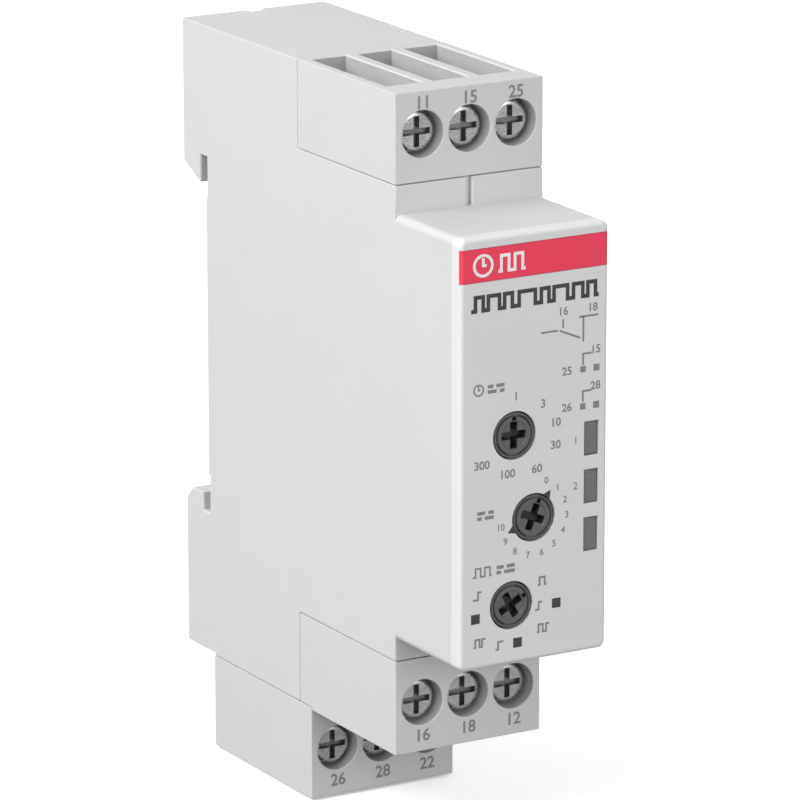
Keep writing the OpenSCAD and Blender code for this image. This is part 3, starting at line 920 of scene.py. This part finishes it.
SCALE_RADIUS = 3.95
SCALE_START = 22
SCALE_STEP = 24.0
fine_x = middle("fine_knob").x / MM + half_width / MM
fine_z = (middle("fine_knob").z - panel_low) / MM
for step in range(11):
    angle = math.radians(SCALE_START + step * SCALE_STEP)
    place = on_panel(fine_x + SCALE_RADIUS * math.sin(angle), fine_z + SCALE_RADIUS * math.cos(angle))
    number(grey_print, str(step), place, 1.0 * MM, 0.01 * MM)
WEDGE_RADIUS = 2.75
for angle in (37, 248):
    turn = math.radians(angle)
    tip = on_panel(fine_x + WEDGE_RADIUS * math.sin(turn), fine_z + WEDGE_RADIUS * math.cos(turn))
    patch(dark_print, tip, 0.55 * MM, 3, turn)
print("dial numbers made")

# %% [markdown]
# The function dial shows a small wave for each way of timing, with three dark squares as positions. Words
# could stand over the dials, but rows of short bars give the panel the right weight of print and say
# nothing that isn't needed. Two windows have a number.

# %% Function pictures and headings
for x, z, picture in ((10.0, 8.3, (0.3, 0.6, 0.3)), (9.7, 5.7, (0.5, 0.5)), (9.9, 3.3, (0.3, 0.5, 0.4, 0.5)),
                      (5.0, 2.2, (0.4, 0.7)), (2.4, 2.8, (0.3, 0.5, 0.3, 0.5)), (2.3, 7.8, (0.7, 0.5))):
    square_wave(grey_print, x - 0.8, z - 0.4, z + 0.4, picture, 0.2 * MM)
for x, z in ((11.5, 5.7), (6.9, 2.2), (1.9, 5.4)):
    patch(dark_print, on_panel(x, z), 0.72 * MM, 4, math.radians(45))


def heading(x, z, lengths, width=0.36 * MM):
    """A row of short bars in the place of a word."""
    for length in lengths:
        stroke(grey_print, on_panel(x, z), on_panel(x + length, z), width)
        x += length


clock(grey_print, 2.2, 29.3, 0.55, 0.17 * MM)
heading(3.1, 29.55, (1.0, 1.3))
heading(3.1, 29.0, (1.4, 0.9))
square_wave(grey_print, 1.5, 9.8, 10.7, (0.4, 0.6, 0.5, 0.6, 0.3), 0.18 * MM)
heading(4.2, 10.5, (1.2, 1.3))
heading(4.2, 9.95, (0.9, 1.6))
heading(1.9, 16.45, (1.3, 1.0))
heading(1.9, 15.9, (0.9, 1.4))
number(grey_print, "1", on_panel(13.7, 22.5), 1.1 * MM)
number(grey_print, "2", on_panel(13.7, 17.7), 1.1 * MM)
print("pictures and headings made")

# %% [markdown]
# The contact symbols are the usual ones for a change-over relay, with two-figure terminal numbers. They are
# short paths and small squares. A loop draws the lower two, which are alike.

# %% Contact symbols
LINE = 0.2 * MM
for places in (((9.4, 34.3), (11.6, 34.3), (14.2, 33.2)), ((12.1, 35.3), (12.1, 34.6)),
               ((14.5, 35.3), (14.5, 32.9)), ((13.9, 35.4), (16.4, 35.4))):
    path(grey_print, [on_panel(*place) for place in places], LINE)
for text, x, z in (("16", 12.1, 36.2), ("18", 15.6, 36.2), ("15", 16.0, 31.8), ("25", 12.6, 29.9),
                   ("26", 12.6, 26.1), ("28", 16.0, 28.0)):
    number(grey_print, text, on_panel(x, z), 1.2 * MM, 0.02 * MM)
for z in (29.9, 26.0):
    patch(grey_print, on_panel(14.5, z), 0.45 * MM, 4, math.radians(45))
    patch(grey_print, on_panel(16.1, z), 0.5 * MM, 4, math.radians(45))
    path(grey_print, [on_panel(14.5, z + 0.55), on_panel(14.5, z + 1.6), on_panel(15.6, z + 1.6)], LINE)
print("contact symbols made")

# %% [markdown]
# Every terminal has its number beside its screw, to match wires to the drawing on the front. The numbers
# could be placed by hand, but taken from the screws they stay right if a screw moves.

# %% Terminal numbers
NUMBER_SIZE = 1.85 * MM
TERMINALS = {"upper": ("11", "15", "25"), "middle": ("16", "18", "12"), "rear": ("26", "28", "22")}
LABEL_RISE = {"upper": 3.2 * MM, "middle": -3.6 * MM, "rear": -3.6 * MM}
labels = bmesh.new()
for block in BLOCKS:
    for text, side in zip(TERMINALS[block], SIDES):
        screw = middle(f"{block}_screw_{side}")
        place = (screw.x, face_y[block], screw.z + LABEL_RISE[block])
        number(labels, text, place, NUMBER_SIZE, 0.035 * MM)
finish_print(labels, "terminal_numbers", ink_grey)
finish_print(dark_print, "dark_marks", ink_dark)
finish_print(grey_print, "grey_marks", ink_grey)
print("prints finished")

# %% [markdown]
# Each terminal has a steel cage that its screw pulls forwards and a tinned brass bar that the wire is
# pressed on. Both are stampings, so soft copies of the CAD do. The cage's bevel is very small, because its
# threaded hole nearly reaches the side walls and a wider one would cross them.

# %% Clamps and contact bars
for block in BLOCKS:
    for side in SIDES:
        soft_copy(f"{block}_clamp_{side}", clamp_finish, 0.04 * MM)
        soft_copy(f"{block}_contact_{side}", contact_finish, 0.12 * MM)
print("clamps and bars made")

# %% [markdown]
# The latch spring is a wire of 0.5 mm in eight turns, seen through the slot at the back: one circle spun
# round with a rise each step. A spring that only moved along would leave its peg when the latch is pulled.
# Here it rides on its node's body and has a mesh of its own.

# %% Latch spring
WIRE = 0.25 * MM
SPRING_TURNS = 8


def make_spring():
    node = "latch_spring"
    centre = Vector((middle(node).x, middle(node).y, 0))
    radius = (high(node).x - low(node).x) / 2 - WIRE
    climb = high(node).z - low(node).z - 2 * WIRE
    bm = bmesh.new()
    base = Vector((centre.x + radius, centre.y, low(node).z + WIRE))
    section = [base + Vector((math.cos(angle), 0, math.sin(angle))) * WIRE
               for angle in (math.tau * i / 10 for i in range(10))]
    helix(bm, section, centre, "z", climb / SPRING_TURNS, SPRING_TURNS, steps=24)
    bmesh.ops.recalc_face_normals(bm, faces=bm.faces)
    piece = finish_piece(bm, node + "_piece", body_of(node), spring_finish, [node])
    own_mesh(piece)
    return piece


spring = make_spring()
print("spring faces", len(spring.data.polygons))

# %% [markdown]
# The two boards stand at right angles and share one finish, where two finishes could do. A flat pattern
# needs a plane, so x and y are added, and the sum runs along both boards.

# %% Board plane
PAD_PITCH = 2.54 * MM


def board_plane(tree):
    """One of x and y never changes along a board, so their sum is the place along it."""
    split = add(tree, "SeparateXYZ")
    along = add(tree, "Math")
    flat = add(tree, "CombineXYZ")
    tree.links.new(place_node(tree), split.inputs[0])
    tree.links.new(split.outputs["X"], along.inputs[0])
    tree.links.new(split.outputs["Y"], along.inputs[1])
    tree.links.new(along.outputs[0], flat.inputs["X"])
    tree.links.new(split.outputs["Z"], flat.inputs["Y"])
    return flat.outputs[0]


print("pads stand", round(PAD_PITCH / MM, 2), "mm apart")

# %% [markdown]
# The circuit boards are green. The tracks show through the mask as lighter, raised lines, and the joints of
# a brick pattern give such rows with a few links. Tinned pads sit on a grid of 2.54 mm where a noise lets
# them through. Modelled tracks would cost many faces for relief this low.

# %% Board finish
def mask_by(tree, value, other):
    node = add(tree, "Math")
    node.operation = "MULTIPLY"
    tree.links.new(value, node.inputs[0])
    tree.links.new(other, node.inputs[1])
    return node.outputs[0]


def board_green():
    colour = (0.012, 0.105, 0.045)
    material, tree, shader = new_material("board_mask", colour, rough=0.32)
    plane = board_plane(tree)
    rows = add(tree, "TexBrick", {"Scale": 1 / (10 * MM), "Brick Width": 0.62, "Row Height": 0.127,
                                  "Mortar Size": 0.017, "Mortar Smooth": 0.1})
    rows.offset = 0.37
    grid = add(tree, "TexVoronoi", {"Scale": 1 / PAD_PITCH, "Randomness": 0.0})
    grid.voronoi_dimensions = "2D"
    tree.links.new(plane, rows.inputs["Vector"])
    tree.links.new(plane, grid.inputs["Vector"])
    tracks = rows.outputs["Fac"]
    round_pads = spread(tree, grid.outputs["Distance"], 1.0, 0.0, 0.17, 0.2)
    pads = spread(tree, mask_by(tree, round_pads, noise(tree, plane, 6 * MM)), 0.0, 1.0, 0.53, 0.56)
    mask = mix_colour(tree, tracks, colour, (0.03, 0.24, 0.09))
    cloud = spread(tree, noise(tree, plane, 4 * MM), 0.0, 0.35)
    dull = mix_colour(tree, cloud, mask, shade(colour, 0.6))
    tree.links.new(mix_colour(tree, pads, dull, (0.55, 0.52, 0.42)), shader.inputs["Base Color"])
    weave = noise(tree, place_node(tree, (1, 6, 1)), 0.5 * MM, detail=2)
    first = bump(tree, shader, weave, 0.01 * MM, 0.4)
    second = bump(tree, shader, tracks, 0.035 * MM, 1.0, over=first)
    bump(tree, shader, pads, 0.08 * MM, 1.0, over=second)
    return material


board_finish = board_green()
soft_copy("main_board", board_finish, 0.08 * MM)
soft_copy("front_board", board_finish, 0.08 * MM)
print("boards made")

# %% [markdown]
# The parts on the boards are small mouldings and stampings. They could be drawn again, but their CAD shapes
# are right, so each only gets the radius of its real counterpart: large on the film capacitor's box, small
# on the relay cases.

# %% Parts on the boards
for node, finish, width in (("range_switch", black_finish, 0.22), ("function_switch", black_finish, 0.22),
                            ("fine_potentiometer", trimmer_finish, 0.22),
                            ("relay_1_case", relay_finish, 0.2), ("relay_2_case", relay_finish, 0.2),
                            ("relay_1_base", black_finish, 0.2), ("relay_2_base", black_finish, 0.2),
                            ("relay_1_armature", iron_finish, 0.1), ("relay_2_armature", iron_finish, 0.1),
                            ("dropper_capacitor", film_finish, 0.6)):
    soft_copy(node, finish, width * MM, 3)
print("mouldings made")

# %% [markdown]
# A relay coil is a bobbin with two flanges and a copper winding between them. Bump lines could stand for
# the wire, but a coil's outline shows its turns too. So the outline is a row of small ridges, and a spin
# carries it round.

# %% Relay coils
COIL_TURNS = 34
FLANGE = 0.7 * MM
FLANGE_EDGE = 0.15 * MM
WIRE_VALLEY, WIRE_CREST = 0.75 * MM, 0.58 * MM


def make_coil(relay):
    node = f"relay_{relay}_coil"
    centre = Vector((middle(node).x, middle(node).y, 0))
    bottom, top = low(node).z, high(node).z
    radius = (high(node).x - low(node).x) / 2
    bm = bmesh.new()
    for start in (bottom, top - FLANGE):
        end = start + FLANGE
        turned(bm, [(0, start), (radius - FLANGE_EDGE, start), (radius, start + FLANGE_EDGE),
                    (radius, end - FLANGE_EDGE), (radius - FLANGE_EDGE, end), (0, end)], centre, "z", 40)
    finish_piece(bm, f"relay_{relay}_bobbin", "housing", black_finish)
    bm = bmesh.new()
    pitch = (top - bottom - 2 * FLANGE) / COIL_TURNS
    outline = [(0, bottom + FLANGE)]
    for i in range(COIL_TURNS):
        start = bottom + FLANGE + i * pitch
        outline += [(radius - WIRE_VALLEY, start), (radius - WIRE_CREST, start + pitch / 2)]
    outline += [(radius - WIRE_VALLEY, top - FLANGE), (0, top - FLANGE)]
    turned(bm, outline, centre, "z", 40)
    finish_piece(bm, f"relay_{relay}_winding", "housing", copper_finish, [node], 60)


for relay in (1, 2):
    make_coil(relay)
print("coils made")

# %% [markdown]
# The can is in a shrunk plastic sleeve, with a pale stripe for the negative side and a rolled groove near
# its seal. The stripe could be a strip of its own, but it is printed, so it is a band of the finish above a
# certain height. The rest is one outline turned about the long axis.

# %% Filter capacitor
def sleeve_finish():
    colour = (0.02, 0.03, 0.09)
    material, tree, shader = new_material("capacitor_sleeve", colour, rough=0.3)
    place = place_node(tree)
    split = add(tree, "SeparateXYZ")
    tree.links.new(place, split.inputs["Vector"])
    upper = middle("filter_capacitor").z + 3.4 * MM
    stripe = spread(tree, split.outputs["Z"], 0.0, 1.0, upper, upper + 0.1 * MM)
    drift = noise(tree, place, 2 * MM)
    tree.links.new(mix_colour(tree, stripe, ramp_colour(tree, drift, shade(colour, 0.8), shade(colour, 1.2)),
                              (0.55, 0.56, 0.58)), shader.inputs["Base Color"])
    bump(tree, shader, noise(tree, place, 0.8 * MM), 0.02 * MM, 0.5)
    return material


def make_capacitor():
    node = "filter_capacitor"
    centre = Vector((0, middle(node).y, middle(node).z))
    top, base = low(node).x, high(node).x
    radius = (high(node).z - low(node).z) / 2
    bm = bmesh.new()
    outline = [(0, top + 0.15 * MM), (radius - 1.0 * MM, top + 0.15 * MM), (radius - 0.9 * MM, top),
               (radius - 0.35 * MM, top), (radius - 0.1 * MM, top + 0.12 * MM), (radius, top + 0.4 * MM),
               (radius, base - 2.2 * MM), (radius - 0.45 * MM, base - 1.75 * MM),
               (radius - 0.45 * MM, base - 1.55 * MM), (radius, base - 1.1 * MM),
               (radius, base - 0.4 * MM), (radius - 0.25 * MM, base), (0, base)]
    turned(bm, outline, centre, "x", 56)
    finish_piece(bm, node + "_piece", "housing", sleeve_finish(), [node], 50)


make_capacitor()
print("capacitor made")

# %% [markdown]
# The varistor is a disc dipped in epoxy, so it has no sharp edge and its faces bulge a little. A flattened
# sphere would have too thin a rim, so an arc worked out by a loop is turned instead. Two tinned legs run to
# the board.

# %% Varistor
DISC_THICK = 3.6 * MM
DISC_EDGE = 1.2 * MM
DISC_BULGE = 1.6 * MM
RIM_STEPS = 6
LEG_RADIUS = 0.3 * MM


def make_varistor():
    node = "surge_varistor"
    disc_high = high(node).z
    disc_low = disc_high - DISC_THICK
    centre = Vector((high(node).x - 5 * MM, middle(node).y, 0))
    radius = (high(node).y - low(node).y) / 2
    bm = bmesh.new()
    disc_middle = (disc_low + disc_high) / 2
    rim = [(radius - DISC_EDGE + DISC_EDGE * math.sin(angle), disc_middle - DISC_BULGE * math.cos(angle))
           for angle in (math.pi * i / RIM_STEPS for i in range(RIM_STEPS + 1))]
    turned(bm, [(0, disc_low)] + rim + [(0, disc_high)], centre, "z", 44)
    finish_piece(bm, node + "_piece", "housing", varistor_finish, [node], 70)
    bm = bmesh.new()
    for side in (-1, 1):
        place = (high(node).x - 1.5 * MM, centre.y + side * 2 * MM, disc_low + DISC_EDGE)
        matrix = Matrix.Translation(place) @ Matrix.Rotation(math.radians(90), 4, "Y")
        leg = bmesh.ops.create_cone(bm, cap_ends=True, segments=14, radius1=LEG_RADIUS, radius2=LEG_RADIUS,
                                    depth=3 * MM, matrix=matrix)
        edges = [e for e in {e for v in leg["verts"] for e in v.link_edges} if e.calc_face_angle() > 1]
        soften(bm, edges, 0.08 * MM, 2)
    finish_piece(bm, "varistor_legs", "housing", contact_finish)


make_varistor()
print("varistor made")

# %% [markdown]
# The chip and the connector are mouldings on rows of bent flat legs. A leg could be one swept strip, but
# only its bends show, so it is three small blocks, a foot, an upright and a shoulder, softened by one
# bevel. The lamps are their CAD shapes in pale epoxy.

# %% Chip, connector and lamps
LEG_REACH = 0.5 * MM
LEG_HALF = 0.17 * MM
STANDOFF = 0.15 * MM
LEG_PARTS = ((0.15, 0.0, 0.0, 0.5), (0.9, 0.15, 0.35, 0.5), (1.0, 0.85, 0.35, 0.8))


def block_between(bm, block_low, block_high):
    size = Matrix.Diagonal((*(block_high - block_low), 1))
    bmesh.ops.create_cube(bm, size=1, matrix=Matrix.Translation((block_low + block_high) / 2) @ size)


def boxed_part(node, slope, count, leg_name):
    corner_low, corner_high = low(node), high(node)
    body_low = corner_low + Vector((0, LEG_REACH, 0))
    body_high = corner_high - Vector((STANDOFF, LEG_REACH, 0))
    bm = bmesh.new()
    block_between(bm, body_low, body_high)
    soften(bm, bm.edges[:], slope, 2)
    outer = min(bm.faces, key=lambda face: face.calc_center_median().x)
    bmesh.ops.inset_individual(bm, faces=[outer], thickness=0.3 * MM, depth=-0.04 * MM)
    finish_piece(bm, node + "_piece", "housing", black_finish, [node])
    bm = bmesh.new()
    for side, y in ((-1, corner_low.y), (1, corner_high.y)):
        for i in range(count):
            z = corner_low.z + (body_high.z - body_low.z) * (i + 0.5) / count
            for low_x, high_x, near, far in LEG_PARTS:
                near_y, far_y = sorted((y - side * near * MM, y - side * far * MM))
                block_between(bm, Vector((corner_high.x - low_x * MM, near_y, z - LEG_HALF)),
                              Vector((corner_high.x - high_x * MM, far_y, z + LEG_HALF)))
    soften(bm, bm.edges[:], 0.03 * MM, 1)
    finish_piece(bm, leg_name, "housing", contact_finish)


boxed_part("microcontroller", 0.15 * MM, 8, "microcontroller_legs")
boxed_part("board_connector", 0.15 * MM, 10, "connector_pins")
soft_copy("indicator_leds", lamp_finish, 0.15 * MM, 3)
print("small parts made")
